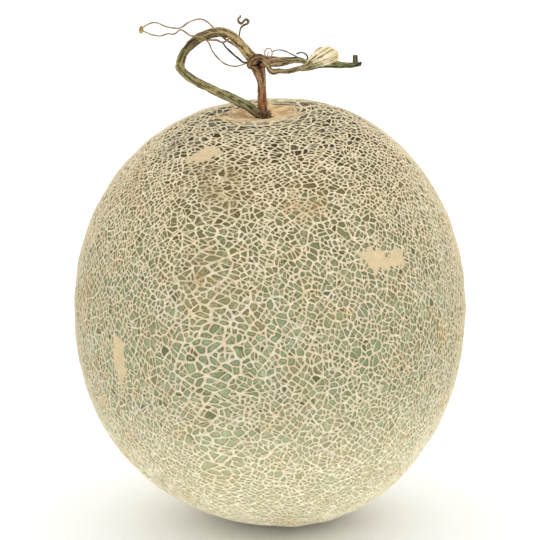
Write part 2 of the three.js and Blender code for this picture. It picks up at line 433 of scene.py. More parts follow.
def net_field(directions):
    """How far each direction lies outside the nearest ridge (negative on it), and its cell's tone."""
    places = net_space(directions)
    thin = 1 - CROWN_THINNING * smooth_step(directions[:, 2], CROWN_THINNING_FROM, CROWN_THINNING_TO)
    main_seeds = scattered_seeds(MAIN_PITCH, MAIN_SEED)
    fine_cells = FineCells(main_seeds)
    closest = nearest(main_seeds, places, 4)
    own = closest[:, 0]
    main_edges = np.empty((len(places), 3))
    for column, other in enumerate(closest[:, 1:].T):
        width = spread(MAIN_HALF_WIDTH, pair_random(own, other)) * thin
        main_edges[:, column] = to_border(places, main_seeds[own], main_seeds[other]) - width

    field = np.empty(len(places))
    tone = np.empty(len(places))
    for cell, rows in enumerate(group_by_cell(own, len(main_seeds))):
        if len(rows):
            fine_edges, tone[rows] = fine_cells.edges(cell, places[rows], thin[rows])
            edges = np.concatenate([main_edges[rows], fine_edges], 1)
            field[rows] = -np.log(np.exp(-CORNER_SHARPNESS * edges).sum(1)) / CORNER_SHARPNESS
    return field, tone


def scar_share(points):
    """From 0 to 1: how much of the net is covered by smooth cork at each point, apart from the crown."""
    edge = sum_of_noises(points, CORK_EDGE_WANDER)
    share = np.zeros(len(points))
    for longitude, height, half_width, half_height, tilt in SCARS:
        turn = math.radians(longitude)
        out = np.array([math.sin(turn), -math.cos(turn), 0])
        east = np.array([math.cos(turn), math.sin(turn), 0])
        facing = points[(np.abs(points[:, 2] - height) < 1.5) & (np.abs(points @ east) < 3)]
        middle = facing[(facing @ out).argmax()]
        normal = body_normals(middle[None] - [0, 0, points[:, 2].max() / 2])[0]
        north = np.cross(east, -normal)
        offset = points - middle
        right, up = offset @ east, offset @ north
        lean = math.radians(tilt)
        along = (right * math.cos(lean) + up * math.sin(lean)) / half_width
        over = (up * math.cos(lean) - right * math.sin(lean)) / half_height
        near = np.abs(offset @ normal) < SCAR_REACH_IN
        share = np.maximum(share, smooth_step(np.hypot(along, over) + edge, *CORK_EDGE) * near)
    from_blossom = np.hypot(points[:, 0] - BLOSSOM_LEAN, points[:, 1]) / BLOSSOM_SCAR_RADIUS
    under = points[:, 2] < points[:, 2].min() + BLOSSOM_SCAR_RADIUS
    return np.maximum(share, smooth_step(from_blossom + edge, *CORK_EDGE) * under)


def crown_share(points):
    """From 0 to 1: how much of the net is covered by the smooth ring round the stalk."""
    from_stalk = np.hypot(points[:, 0] - DIMPLE_X, points[:, 1] - DIMPLE_Y)
    edge = sum_of_noises(points, CROWN_EDGE_WANDER)
    above = points[:, 2] > points[:, 2].max() / 2
    outside, inside = CROWN_ZONE_RADIUS + CROWN_ZONE_BLUR, CROWN_ZONE_RADIUS - CROWN_ZONE_BLUR
    return smooth_step(from_stalk + edge, outside, inside) * above


def build_melon():
    directions, quads, places = cube_sphere(MESH_STEPS)
    points = body_points(directions)
    normals = body_normals(points)
    floor, top = (corner[2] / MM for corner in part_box("melon"))
    points[:, 2] += floor + WIDEST_HEIGHT
    field, tone = net_field(directions)
    scar = scar_share(points)
    crown = crown_share(points)
    cork = np.maximum(scar, crown)
    rise = np.clip(-field / RIDGE_SHOULDER, 0, 1)
    ridge = RIDGE_HEIGHT * (1 - (1 - rise) ** 2)
    pillow = PILLOW_HEIGHT * np.clip(field / PILLOW_REACH, 0, 1)
    cork_height = RIDGE_HEIGHT * CORK_HEIGHT + sum_of_noises(points, CORK_BUMPS)
    height = (ridge + pillow) * (1 - cork) + cork_height * cork
    height += sum_of_noises(points, MELON_BUMPS)
    points = points + normals * (height - NET_SINK)[:, None]
    points[:, 2] = np.maximum(points[:, 2], floor)
    piece = mesh_object("netted_rind", points, quads, {
        "net": field,
        "tone": tone,
        "scar": scar,
        "crown": crown,
        "level": (points[:, 2] - floor) / (top - floor),
    })
    chart = piece.data.uv_layers.new(name="OFBake")
    chart.data.foreach_set("uv", places.astype(np.float32).ravel())
    return piece


# ---- Stems and tendrils ----

def smooth_route(route, step):
    """Evenly spaced points on a Catmull-Rom curve through the route's points."""
    route = np.asarray(route, dtype=float)
    ends = np.concatenate([[2 * route[0] - route[1]], route, [2 * route[-1] - route[-2]]])
    share = np.linspace(0, 1, ROUTE_STEPS, endpoint=False)[:, None]
    pieces = []
    for before, start, end, after in zip(ends, ends[1:], ends[2:], ends[3:]):
        pieces.append(0.5 * (
            2 * start + (end - before) * share
            + (2 * before - 5 * start + 4 * end - after) * share**2
            + (3 * start - before - 3 * end + after) * share**3))
    dense = np.concatenate(pieces + [route[-1:]])
    lengths = np.concatenate([[0], np.cumsum(np.linalg.norm(np.diff(dense, axis=0), axis=1))])
    stops = np.linspace(0, lengths[-1], max(3, int(lengths[-1] / step) + 1))
    return np.stack([np.interp(stops, lengths, dense[:, axis]) for axis in range(3)], 1), stops


def carried_frames(middles):
    """Two sideways directions at each point of a route, which turn no more than the route does."""
    ways = np.gradient(middles, axis=0)
    ways /= np.linalg.norm(ways, axis=1)[:, None]
    side = np.cross(ways[0], [0.0, 1.0, 0.0])
    if np.linalg.norm(side) < 0.1:
        side = np.cross(ways[0], [1.0, 0.0, 0.0])
    sides = []
    for way in ways:
        side = side - way * (side @ way)
        side = side / np.linalg.norm(side)
        sides.append(side)
    sides = np.array(sides)
    return sides, np.cross(ways, sides)


def stem_grain(turn, distance, seed, grain):
    """A noise on a stem's skin, wrapped round it and drawn out along it."""
    radius, shrink, wavelength, seed_step = grain
    parts = radius * np.cos(turn), radius * np.sin(turn), distance * shrink
    drum = np.stack(np.broadcast_arrays(*parts), -1)
    return SmoothNoise(seed + seed_step, wavelength)(drum.reshape(-1, 3)).reshape(drum.shape[:2])


class Skin:
    """Gathers the closed skins that make up one piece, with how far along and how deep each point is."""

    def __init__(self):
        self.points, self.quads, self.triangles, self.along, self.relief = [], [], [], [], []
        self.count = 0

    def add(self, points, quads, triangles, along, relief):
        self.points.append(points)
        self.quads.append(np.asarray(quads, dtype=np.int64).reshape(-1, 4) + self.count)
        self.triangles.append(np.asarray(triangles, dtype=np.int64).reshape(-1, 3) + self.count)
        self.along.append(along)
        self.relief.append(relief)
        self.count += len(points)

    def tube(self, route, radii, seed, sides=28, step=0.35, ridges=3, depth=0.1, twist=0.0, fibre=0.07,
             lumps=0.05, blunt=0.5, span=(0.0, 1.0)):
        """A ridged stem along a route. radii are spread evenly; blunt rounds its ends off."""
        middles, stops = smooth_route(route, step)
        first, second = carried_frames(middles)
        share = stops / stops[-1]
        radius = np.interp(share, np.linspace(0, 1, len(radii)), radii)
        turn = np.linspace(0, 2 * np.pi, sides, endpoint=False)[None, :]
        distance = stops[:, None]
        ridge = np.cos(ridges * turn + twist * distance)
        ridge = np.sign(ridge) * np.abs(ridge) ** RIDGE_POWER
        streaks = stem_grain(turn, distance, seed, STREAKS)
        fibres = stem_grain(turn, distance, seed, FIBRES)
        bumps = stem_grain(turn, distance, seed, BUMPS)
        relief = depth * ridge + fibre * (streaks + FIBRE_SHARE * fibres) + lumps * bumps
        from_end = np.minimum(stops, stops[-1] - stops)
        cap = np.clip(from_end / (blunt * radius), 0, 1)
        rounding = TIP_SHARE + (1 - TIP_SHARE) * np.sqrt(1 - (1 - cap) ** 2)
        out = first[:, None] * np.cos(turn)[..., None] + second[:, None] * np.sin(turn)[..., None]
        reach = (radius * rounding)[:, None] * (1 + relief)
        rings = middles[:, None] + out * reach[..., None]
        count = len(middles)
        points = np.concatenate([rings.reshape(-1, 3), middles[:1], middles[-1:]])
        number = np.arange(count * sides).reshape(count, sides)
        beside = np.roll(number, -1, axis=1)
        quads = np.stack([number[:-1], beside[:-1], beside[1:], number[1:]], -1).reshape(-1, 4)
        start, end = count * sides, count * sides + 1
        fans = [(start, after, before) for before, after in zip(number[0], beside[0])]
        fans += [(end, before, after) for before, after in zip(number[-1], beside[-1])]
        along = np.concatenate([np.repeat(np.interp(share, (0, 1), span), sides), span])
        # How light the skin is painted: lighter on crests and darker in grooves, as painted highlight and
        # painted shade, with the stems' own streaks.
        signal = sum(part * share for part, share in zip((ridge, streaks, fibres), LIGHT_PARTS))
        self.add(points, quads, fans, along, np.concatenate([signal.ravel(), [-1, -1]]))

    def lump(self, middle, radii, shape=None, steps=24, seed=0, roughness=0.06, along=0.5):
        """A rounded lump. shape(points) may return how far to move each point out."""
        directions, quads, _ = cube_sphere(steps)
        noise = SmoothNoise(seed, 0.9)(directions) + 0.5 * SmoothNoise(seed + 1, 0.35)(directions)
        points = middle + directions * np.asarray(radii) * (1 + roughness * noise)[:, None]
        relief = 0.4 * noise
        if shape is not None:
            moved = shape(points)
            points = points + directions * moved[:, None]
            # The colour follows this move: skin moved in, as in the knot's hollow, is painted darker, as
            # painted shade.
            relief = relief + 2.0 * moved
        self.add(points, quads, [], np.full(len(points), along), relief)

    def finish(self, name):
        return mesh_object(name, np.concatenate(self.points), np.concatenate(self.quads), {
            "along": np.concatenate(self.along),
            "relief": np.concatenate(self.relief),
        }, np.concatenate(self.triangles))


def build_stalk():
    skin = Skin()
    route = [
        (-2.4, -7.2, 164.2), (-4, -7, 165.3), (-6, -6.8, 166.8), (-8.9, -6.6, 168.9),
        (-15.4, -6.3, 172.1), (-23.2, -5.8, 175.6), (-28.6, -5.4, 178.1), (-32.2, -5, 180.5),
        (-34.7, -4.6, 183.2), (-34.9, -4.2, 185), (-34, -3.5, 188), (-32, -2.6, 191),
        (-29.1, -1.8, 193.7), (-25.7, -1.2, 195.8), (-22.1, -0.8, 196.9), (-19, -0.5, 196.9),
        (-15.9, -0.2, 195.9), (-13.2, 0, 193.8), (-11, 0, 191.2), (-8.6, 0, 188.5),
        (-6, 0, 185.8)]
    radii = (1.3, 1.75, 1.8, 1.65, 1.55, 1.6, 1.6, 1.55, 1.6, 1.75, 1.85, 2.3)
    skin.tube(route, radii, sides=56, ridges=5, depth=0.09, twist=0.05, fibre=0.06, seed=101)
    skin.lump((-34.9, -4.5, 183.9), (1.7, 1.8, 2), steps=20, seed=105, roughness=0.10, along=0.44)
    twin = [
        (-21, 0.4, 197.2), (-17.5, -0.9, 196.9), (-14.2, -1.1, 195.2), (-11.6, -0.2, 192.6),
        (-9.2, 0.9, 189.6), (-6.6, 1.2, 186.6)]
    skin.tube(twin, (0.9, 1.25, 1.2, 1.2, 1.4), sides=36, depth=0.1, twist=0.3, seed=103,
              blunt=2.0, span=(0.72, 1))
    # A thin dark strand along the inside of the loop, put in as painted shade for the shaded groove between
    # two twisted strands.
    dark = [
        (-33.4, -4.6, 186.6), (-33, -4.5, 188.2), (-31.2, -3.7, 190.6), (-28.4, -2.9, 193),
        (-25.2, -2.3, 194.9), (-21.9, -1.9, 195.8), (-19.1, -1.6, 195.8), (-16.6, -1.3, 194.9)]
    skin.tube(dark, (0.45, 0.8, 0.95, 0.9, 0.8, 0.5), sides=32, depth=0.14, twist=0.15, seed=107,
              blunt=2.0, span=(0.60, 0.64))
    return skin.finish("looped_stalk")


# Roots at the foot of the dry shoot: the way each runs, in degrees, and its length.
SHOOT_FOOT = np.array([-2.5, -6.8, 164.3])
SHOOT_ROOTS = ((8, 3.6), (50, 3.4), (105, 4.4), (160, 3.6), (200, 3.4), (250, 3.6), (305, 3.8))


def build_shoot():
    skin = Skin()
    route = [
        (-2.8, -5.2, 163.8), (-3, -4.4, 167.2), (-2.9, -2.8, 172), (-3.3, -1.2, 177.4),
        (-4, 0, 181.1), (-4.6, 0.2, 184.4)]
    skin.tube(route, (2.2, 1.75, 1.55, 1.5, 1.9, 2.6), sides=48, ridges=4, depth=0.08, twist=0.12,
              fibre=0.09, seed=111)
    skin.lump((-2.3, -7.9, 164.6), (2.7, 2.4, 2.1), steps=36, seed=113, roughness=0.2, along=0.0)
    for number, (turn, reach) in enumerate(SHOOT_ROOTS):
        side = np.array([math.cos(math.radians(turn)), math.sin(math.radians(turn)), 0])
        stages = ((reach, 0.2), (reach * 0.5, 0.8), (0.8, 2.6))
        root = [SHOOT_FOOT + side * out + [0, 0, up] for out, up in stages]
        skin.tube(root, (0.4, 0.75, 0.7), sides=16, depth=0.12, seed=120 + number, blunt=1.5,
                  span=(0, 0.1))
    return skin.finish("shoot_stem")


# Hollow on the front of the knot, with wrinkles round it. The knot's colour follows them, so the hollow is
# painted dark, as painted shade.
HOLLOW_X, HOLLOW_Z = -4.6, 184.1
HOLLOW_DEPTH, HOLLOW_REACH = 1.3, 0.85
WRINKLE_HEIGHT, WRINKLE_PITCH = 0.14, 0.95


def knot_shape(points):
    """How far out the knot's skin is moved for its hollow and its wrinkles."""
    front = smooth_step(-points[:, 1], 0, 1.6)
    distance = np.hypot(points[:, 0] - HOLLOW_X, points[:, 2] - HOLLOW_Z)
    hollow = HOLLOW_DEPTH * np.exp(-((distance / HOLLOW_REACH) ** 2))
    wrinkles = WRINKLE_HEIGHT * np.cos(2 * np.pi * distance / WRINKLE_PITCH)
    return front * (wrinkles - hollow)


def build_knot():
    skin = Skin()
    skin.lump((-4.7, 0, 184.7), (3.7, 2.9, 3), knot_shape, steps=40, seed=131)
    collar = [
        (-7.6, -1.3, 182.4), (-8, -2, 184.4), (-7.2, -2.5, 186.4), (-5, -2.9, 187.5),
        (-2.7, -2.5, 186.9), (-1.4, -1.9, 185.2), (-1.7, -1.2, 183.2)]
    skin.tube(collar, (0.7, 1, 1.1, 1.1, 1, 0.7), sides=32, ridges=4, depth=0.12, twist=0.2, seed=133,
              blunt=1.6, span=(0.2, 0.8))
    ear = [(-9, 0.2, 184.7), (-7.4, 0, 184.6), (-6, 0, 184)]
    skin.tube(ear, (0.8, 1.3, 1.6), sides=24, seed=135, blunt=1.2, span=(0.8, 1))
    web = [(-7.9, 0.3, 184.3), (-6.3, 0.3, 182.2), (-4.9, 0.6, 179.4), (-4, 0.9, 177)]
    skin.tube(web, (1, 1.1, 0.8, 0.5), sides=24, seed=137, blunt=1.5, span=(0.7, 1))
    return skin.finish("knot_body")


def build_upper_strand():
    skin = Skin()
    top = [
        (-2.8, -0.4, 186.4), (1.3, -0.5, 186.7), (4.6, 0.2, 186.4), (7.9, 0.5, 186.1), (11.2, 0, 186.4),
        (14.6, -0.5, 185.3)]
    bottom = [
        (-2.4, -0.9, 184.9), (0.6, -0.9, 184.4), (3.4, -0.6, 184.3), (6.6, -0.1, 184.9),
        (10, -0.4, 185.4), (14.2, 0.2, 184.9)]
    inner = [(-2.4, 0.4, 185.8), (3, 0.7, 185.4), (8.6, -0.5, 185.7), (13.6, 0.4, 185.6)]
    skin.tube(top, (0.95, 0.8, 0.7, 0.65), ridges=2, depth=0.2, twist=0.6, seed=141, blunt=1.5)
    skin.tube(bottom, (1, 0.9, 0.7, 0.6), depth=0.16, twist=0.5, seed=143, blunt=1.5)
    skin.tube(inner, (1, 0.85, 0.7, 0.5), depth=0.16, twist=0.4, seed=145, blunt=1.5)
    return skin.finish("upper_vine")


def build_lower_strand():
    skin = Skin()
    route = [
        (-3, -2.6, 186.6), (-1.7, -2.7, 185.4), (-0.7, -2.2, 183.6), (0.1, -1.6, 182.1),
        (1.3, -1.2, 181.4), (3.4, -1, 181.8), (6.6, -0.9, 181.7), (10.6, -1, 182.5),
        (14.2, -1.3, 183.8), (16.6, -1.5, 185.4)]
    skin.tube(route, (0.75, 0.95, 1, 0.9, 0.95, 0.9, 0.7), sides=32, depth=0.12, twist=0.35,
              seed=151, blunt=1.5)
    second = [(4, -0.4, 181.6), (8.4, -0.2, 181.8), (12.6, -1.4, 183.2), (15.4, -0.9, 185.2)]
    skin.tube(second, (0.5, 0.75, 0.8, 0.6), sides=24, twist=0.4, seed=153, blunt=2.0, span=(0.4, 1))
    return skin.finish("lower_vine")


def build_vine_end():
    skin = Skin()
    under = [
        (9.6, -0.5, 182.1), (13.2, -0.5, 182.3), (17, -0.3, 183.2), (20.4, -0.1, 183.8),
        (24, 0, 183.7), (28, 0.1, 183.4), (32, 0, 183.5), (35.7, 0, 184.2)]
    over = [
        (15, 0.9, 184.6), (20, 1, 184.4), (24, 0.6, 184.9), (28, 0.3, 184.5), (32, 0.3, 184.3),
        (35.9, 0.1, 184.7)]
    skin.tube(under, (0.6, 0.9, 0.85, 0.7, 0.6), twist=0.25, seed=161, blunt=0.4)
    skin.tube(over, (0.6, 0.8, 0.75, 0.6, 0.55), twist=0.25, seed=163, blunt=0.4)
    return skin.finish("cut_vine")


def build_peg():
    skin = Skin()
    route = [(33.2, 0.6, 184.4), (33.25, 0.6, 186), (33.3, 0.6, 187.9)]
    skin.tube(route, (1, 0.88, 0.92), ridges=4, depth=0.05, seed=171, blunt=0.25, step=0.2)
    return skin.finish("side_stub")


# Papery fan: points outwards and across, pleats, the routes of its two edges, the swelling of its
# middle, its thickness at the vine and at the far edge, and how sharply it thins at its rims.
FAN_STEPS_OUT, FAN_STEPS_OVER = 80, 150
FAN_PLEATS = 6
FAN_UPPER_EDGE = ((12.6, 0, 184), (15.3, 0, 187), (17.2, 0, 189.4), (19.6, 0, 191.5))
FAN_LOWER_EDGE = ((13.2, 0, 182.2), (17.6, 0, 182.9), (22.6, 0, 184), (26.8, 0, 186))
FAN_SWELL_X, FAN_SWELL_Z = 2.48, 1.922
FAN_THICK, FAN_THIN = 0.55, 0.20
FAN_RIM = 14


def build_leaf_base():
    """A papery pleated fan, thin and closed, narrow at the vine and ragged at its far edge."""
    out = np.linspace(0, 1, FAN_STEPS_OUT)[:, None]
    over = np.linspace(0, 1, FAN_STEPS_OVER)[None, :]
    shape = FAN_STEPS_OUT, FAN_STEPS_OVER

    def noise(seed, wavelength, first, second=0):
        place = np.stack(np.broadcast_arrays(first, second, np.zeros(shape)), -1)
        return SmoothNoise(seed, wavelength)(place.reshape(-1, 3)).reshape(shape)

    ragged = 1 + 0.022 * noise(181, 0.30, over) + 0.014 * noise(182, 0.05, over)
    reach = np.clip(out * ragged - 0.02, 0, 1.03)

    def along_edge(route, axis):
        line, _ = smooth_route(route, 0.1)
        return np.interp(reach.ravel(), np.linspace(0, 1, len(line)), line[:, axis]).reshape(shape)

    bulge = np.sin(np.pi * over) ** 0.8 * out**2

    def between_edges(axis, swell):
        upper, lower = along_edge(FAN_UPPER_EDGE, axis), along_edge(FAN_LOWER_EDGE, axis)
        return upper * (1 - over) + lower * over + swell * bulge

    x, z = between_edges(0, FAN_SWELL_X), between_edges(2, FAN_SWELL_Z)
    pleat = np.cos(2 * np.pi * FAN_PLEATS * over + 1.9 * noise(185, 2.4, 5 * over, 0.9 * out))
    fold = np.abs(pleat) ** 0.8 * np.sign(pleat)
    crumple = noise(183, 3, x, z)
    y = -1.0 + 1.1 * np.sin(np.pi * over) * (0.3 - out) + 0.22 * fold * (0.35 + 0.5 * out) + 0.14 * crumple
    rim = np.minimum(np.minimum(over, 1 - over), np.minimum(out, 1 - out)) * FAN_RIM
    half = (FAN_THICK + (FAN_THIN - FAN_THICK) * out) * np.sqrt(np.clip(rim, 0.03, 1)) / 2
    front = np.stack([x, y - half, z], -1).reshape(-1, 3)
    back = np.stack([x, y + half, z], -1).reshape(-1, 3)

    number = np.arange(len(front)).reshape(shape)
    corners = number[:-1, :-1], number[:-1, 1:], number[1:, 1:], number[1:, :-1]
    sheet = np.stack(corners, -1).reshape(-1, 4)
    border = np.concatenate([number[0, :], number[1:, -1], number[-1, -2::-1], number[-2:0:-1, 0]])
    following = np.roll(border, -1)
    walls = np.stack([border, border + len(front), following + len(front), following], 1)
    quads = np.concatenate([sheet[:, ::-1], sheet + len(front), walls[:, ::-1]])
    along = np.tile(np.broadcast_to(out, shape).ravel(), 2)
    skin = Skin()
    skin.add(np.concatenate([front, back]), quads, [], along, np.tile((fold + 0.3 * crumple).ravel(), 2))
    return skin.finish("papery_base")


# Tendrils: radii along each, the colours of its crests and of its grooves, and its route. The crests'
# colour carries painted highlight and the grooves' colour painted shade.
TENDRIL_SEED = 200
TENDRILS = {
    "tendril_upper": ((0.30, 0.28, 0.30, 0.32), (176, 154, 112), (120, 98, 66), [
        (-49.6, 0.2, 198.3), (-48, 0.4, 199.5), (-45.7, 0.5, 200.4), (-43.2, 0.6, 200.1),
        (-40.6, 0.6, 198.9), (-38, 0.6, 198.4), (-35.4, 0.6, 198.3), (-33.6, 0.6, 199.2),
        (-31.4, 0.6, 200.7), (-28.8, 0.6, 201.6), (-26.7, 0.7, 201.8), (-24.8, 1.1, 200.9),
        (-23.2, 1.6, 199.5), (-21.8, 1.4, 198)]),
    "tendril_lower": ((0.28, 0.29, 0.34, 0.28, 0.26), (170, 150, 110), (114, 96, 64), [
        (-49.6, -0.2, 197.5), (-47.8, -0.5, 196.6), (-45.4, -0.6, 195.7), (-42.6, -0.6, 195.4),
        (-39.9, -0.6, 196.2), (-37.2, -0.5, 196.2), (-35, -0.6, 197.7), (-33, -2.4, 197.2),
        (-30.9, -4.3, 196), (-27.8, -4.3, 195.6), (-25.2, -3.4, 194.4), (-23.8, -2.2, 192.8),
        (-22.9, -1.2, 190.6), (-21.4, -0.4, 188), (-19.4, 0, 185.7), (-16.7, 0, 184),
        (-13.6, 0, 183.4), (-11.2, 0, 183.9), (-8.4, 0, 184.9)]),
    "tendril_inner": ((0.40, 0.42, 0.38, 0.30), (184, 148, 120), (128, 94, 74), [
        (-25, -2.2, 193.9), (-23, -1.6, 193.9), (-20.9, -1.2, 193.9), (-19.2, -1.1, 193),
        (-17.8, -1, 193), (-16.4, -0.8, 193.9), (-15.4, -0.4, 195)]),
    "tendril_thin": ((0.36, 0.34, 0.30, 0.28), (122, 98, 72), (76, 56, 40), [
        (-19.4, 0.9, 195.8), (-17.6, 1.3, 194), (-15, 1.4, 192.2), (-12.2, 1.2, 190.2),
        (-10.2, 0.8, 188), (-8.8, 0.2, 186)]),
    "tendril_dark": ((0.28, 0.40, 0.46, 0.34), (98, 92, 72), (54, 50, 40), [
        (-18.8, 0.2, 193.2), (-17.4, 0.4, 191.2), (-15.2, 0.4, 188.9), (-12.6, 0.3, 186.7),
        (-10.6, 0.2, 185.1), (-8.8, 0, 184.9)]),
    "tendril_curl": ((0.26, 0.28, 0.42, 0.50, 0.48, 0.44, 0.38), (124, 108, 72), (66, 54, 34), [
        (-12, 0.2, 195), (-11.7, 0.3, 196.8), (-11.3, 0.4, 198.4), (-10.2, 0.7, 199.4),
        (-8.9, 0.6, 200), (-8.4, 0.2, 201), (-9.3, -0.1, 201.8), (-10.2, 0.1, 201),
        (-11.1, 0.4, 200.2), (-12.1, 0.1, 200.8), (-12.3, -0.2, 202), (-11.5, -0.2, 202.7),
        (-11.7, 0, 203.5)]),
    "tendril_ring": ((0.26, 0.30, 0.30, 0.26), (216, 188, 164), (178, 142, 116), [
        (-0.4, -0.4, 186.6), (-1.8, -0.5, 187.6), (-2.1, -0.6, 189.2), (-1.1, -0.6, 190.5),
        (0.3, -0.6, 190.2), (0.9, -0.7, 188.8), (0.4, -0.8, 187.4), (-0.6, -0.9, 187.2),
        (-0.9, -1, 188.4), (-0.2, -1, 189.3)]),
    "tendril_arc": ((0.24, 0.25, 0.28), (134, 126, 98), (92, 84, 62), [
        (0.6, -0.2, 189), (2.2, 0, 189.7), (4.2, 0, 189.8), (6.4, 0, 189.2), (9, 0, 187.9),
        (11.2, 0, 186.8)]),
    "tendril_hook": ((0.24, 0.28, 0.32), (100, 78, 58), (56, 42, 30), [
        (10.2, 0.1, 188.1), (11.2, 0.1, 188.7), (12.6, 0, 188.8), (13.8, 0, 188.3),
        (14.6, -0.1, 187.2), (14.3, -0.3, 186)]),
}


def build_tendril(name, radii, route, seed):
    skin = Skin()
    skin.tube(route, radii, sides=14, step=0.16, ridges=2, depth=0.08, twist=1.4, fibre=0.05, lumps=0.10,
              seed=seed, blunt=1.0)
    return skin.finish(name + "_strand")


def build_bud():
    skin = Skin()
    skin.lump((-50.1, 0, 197.5), (0.85, 0.75, 1.15), steps=16, seed=191, roughness=0.16)
    skin.lump((-50, -0.2, 198.5), (0.6, 0.5, 0.6), steps=12, seed=193, roughness=0.2, along=0.2)
    return skin.finish("dry_bud")


# ---- Materials ----

def linear(colour):
    """A colour given as red, green and blue from 0 to 255 on a screen, as Blender's linear values."""
    parts = [value / 255 for value in colour]
    return [((part + 0.055) / 1.055) ** 2.4 if part > 0.04 else part / 12.92 for part in parts] + [1]


class Nodes:
    """A node tree that is filled by short calls."""

    def __init__(self, tree):
        self.tree = tree

    def node(self, kind, **settings):
        made = self.tree.nodes.new(kind)
        for setting, value in settings.items():
            setattr(made, setting, value)
        return made

    def set(self, socket, value):
        """Gives a socket another node's output, a colour or a number."""
        if isinstance(value, bpy.types.NodeSocket):
            self.tree.links.new(value, socket)
        else:
            socket.default_value = linear(value) if isinstance(value, tuple) else value

    def between(self, value, low, high, start=0.0, end=1.0):
        """A soft step from start to end as value goes from low to high."""
        made = self.node("ShaderNodeMapRange", interpolation_type="SMOOTHSTEP")
        for socket, given in zip(made.inputs, (value, low, high, start, end)):
            self.set(socket, given)
        return made.outputs[0]


class Shader(Nodes):
    """A material's nodes. Most calls add one step and return its output socket."""

    def __init__(self, name, specular):
        self.material = bpy.data.materials.new(name)
        self.material.use_nodes = True
        super().__init__(self.material.node_tree)
        self.surface = self.tree.nodes["Principled BSDF"]
        self.surface.inputs["Specular IOR Level"].default_value = specular
        self.place = self.node("ShaderNodeTexCoord").outputs["Object"]

    def attribute(self, name):
        return self.node("ShaderNodeAttribute", attribute_name=name).outputs["Fac"]

    def math(self, operation, first, second=0.0, third=0.0):
        made = self.node("ShaderNodeMath", operation=operation)
        for socket, value in zip(made.inputs, (first, second, third)):
            self.set(socket, value)
        return made.outputs[0]

    def mix(self, share, first, second):
        made = self.node("ShaderNodeMix", data_type="RGBA", blend_type="MIX")
        self.set(made.inputs[0], share)
        self.set(made.inputs[6], first)
        self.set(made.inputs[7], second)
        return made.outputs[2]

    def tint(self, base, colour, strength, share):
        """A base colour with another mixed in: by strength where share is 1, not at all where it is 0."""
        return self.mix(self.math("MULTIPLY", share, strength), base, colour)

    def ramp(self, value, stops):
        """A colour that follows stops of (place, red, green, blue) as value goes from 0 to 1."""
        made = self.node("ShaderNodeValToRGB")
        elements = made.color_ramp.elements
        while len(elements) < len(stops):
            elements.new(0.5)
        while len(elements) > len(stops):
            elements.remove(elements[-1])
        for element, (place, *colour) in zip(elements, stops):
            element.position = place
            element.color = linear(colour)
        self.set(made.inputs[0], value)
        return made.outputs[0]

    def noise(self, wavelength_mm, detail=3.0, stretch=None):
        """A noise of 0 to 1 whose patches are about this far apart."""
        made = self.node("ShaderNodeTexNoise")
        self.set(made.inputs["Vector"], self.place)
        if stretch:
            mapping = self.node("ShaderNodeMapping")
            self.set(mapping.inputs["Vector"], self.place)
            mapping.inputs["Scale"].default_value = stretch
            self.set(made.inputs["Vector"], mapping.outputs[0])
        made.inputs["Scale"].default_value = 1 / (wavelength_mm * MM)
        made.inputs["Detail"].default_value = detail
        return made.outputs["Fac"]

    def patches(self, low, high, wavelength_mm, detail=3.0, stretch=None):
        """1 where a noise is past high, 0 where it is short of low."""
        return self.between(self.noise(wavelength_mm, detail, stretch), low, high)

    def crackle(self, wavelength_mm, half_width):
        """1 on the thin borders between cells about this far apart, 0 inside them."""
        made = self.node("ShaderNodeTexVoronoi", feature="DISTANCE_TO_EDGE")
        self.set(made.inputs["Vector"], self.place)
        made.inputs["Scale"].default_value = 1 / (wavelength_mm * MM)
        return self.between(made.outputs["Distance"], half_width * 1.6, half_width * 0.8)

    def spot(self, middle_mm, reach_mm):
        """1 at a place on the surface, fading to 0 at this distance from it."""
        made = self.node("ShaderNodeVectorMath", operation="DISTANCE")
        self.set(made.inputs[0], self.place)
        made.inputs[1].default_value = [part * MM for part in middle_mm]
        return self.between(made.outputs["Value"], reach_mm * MM, reach_mm * MM * 0.2)

    def bump(self, height, distance_mm, strength=1.0):
        made = self.node("ShaderNodeBump")
        made.inputs["Strength"].default_value = strength
        made.inputs["Distance"].default_value = distance_mm * MM
        self.set(made.inputs["Height"], height)
        return made.outputs[0]

    def finish(self, colour, roughness, normal=None):
        self.set(self.surface.inputs["Base Color"], colour)
        self.set(self.surface.inputs["Roughness"], roughness)
        if normal is not None:
            self.set(self.surface.inputs["Normal"], normal)
        return self.material


def rind_floor(shader, field, tone, level, low_down):
    """Colour of the skin between the ridges, with painted shade beside the ridges, in some deep pits and in
    the slits high up.
    """
    floor = shader.mix(tone, (117, 129, 96), (147, 162, 124))
    floor = shader.tint(floor, (140, 128, 84), 0.8, shader.patches(0.46, 0.70, 26))
    # Browner high up: partly the skin's own colour, partly painted shade in the deep slits near the top.
    floor = shader.tint(floor, (98, 82, 44), 0.9, shader.between(level, *HIGH_UP))
    # Paler low down: partly the lower skin's own paler colour, partly painted light from below.
    floor = shader.tint(floor, (197, 199, 157), 0.85, low_down)
    # Near black on the crown's slope: painted shade in the slits there.
    floor = shader.tint(floor, (50, 37, 16), 0.9, shader.between(level, *CROWN_SLOPE))
    # Painted shade in some deep pits, chosen by their cell's tone, with less of it low down.
    shaded_pit = shader.between(tone, *SHADED_PIT_TONE)
    floor = shader.tint(floor, (78, 72, 44), shader.between(low_down, 1.0, 0.0, 0.0, 0.75), shaded_pit)
    # Painted shade along the foot of each ridge, lighter and browner low down.
    rim = shader.mix(low_down, (84, 72, 42), (140, 112, 68))
    floor = shader.mix(shader.between(field, *RIDGE_FOOT_SHADE, 0.0, 0.9), floor, rim)
    hatching = shader.math("MULTIPLY", shader.crackle(1.5, 0.055), shader.patches(0.46, 0.56, 5, 2))
    # The fine ridges are paler low down too, with the same painted light from below.
    return shader.tint(floor, shader.mix(low_down, (196, 192, 156), (244, 236, 200)), 0.5, hatching)


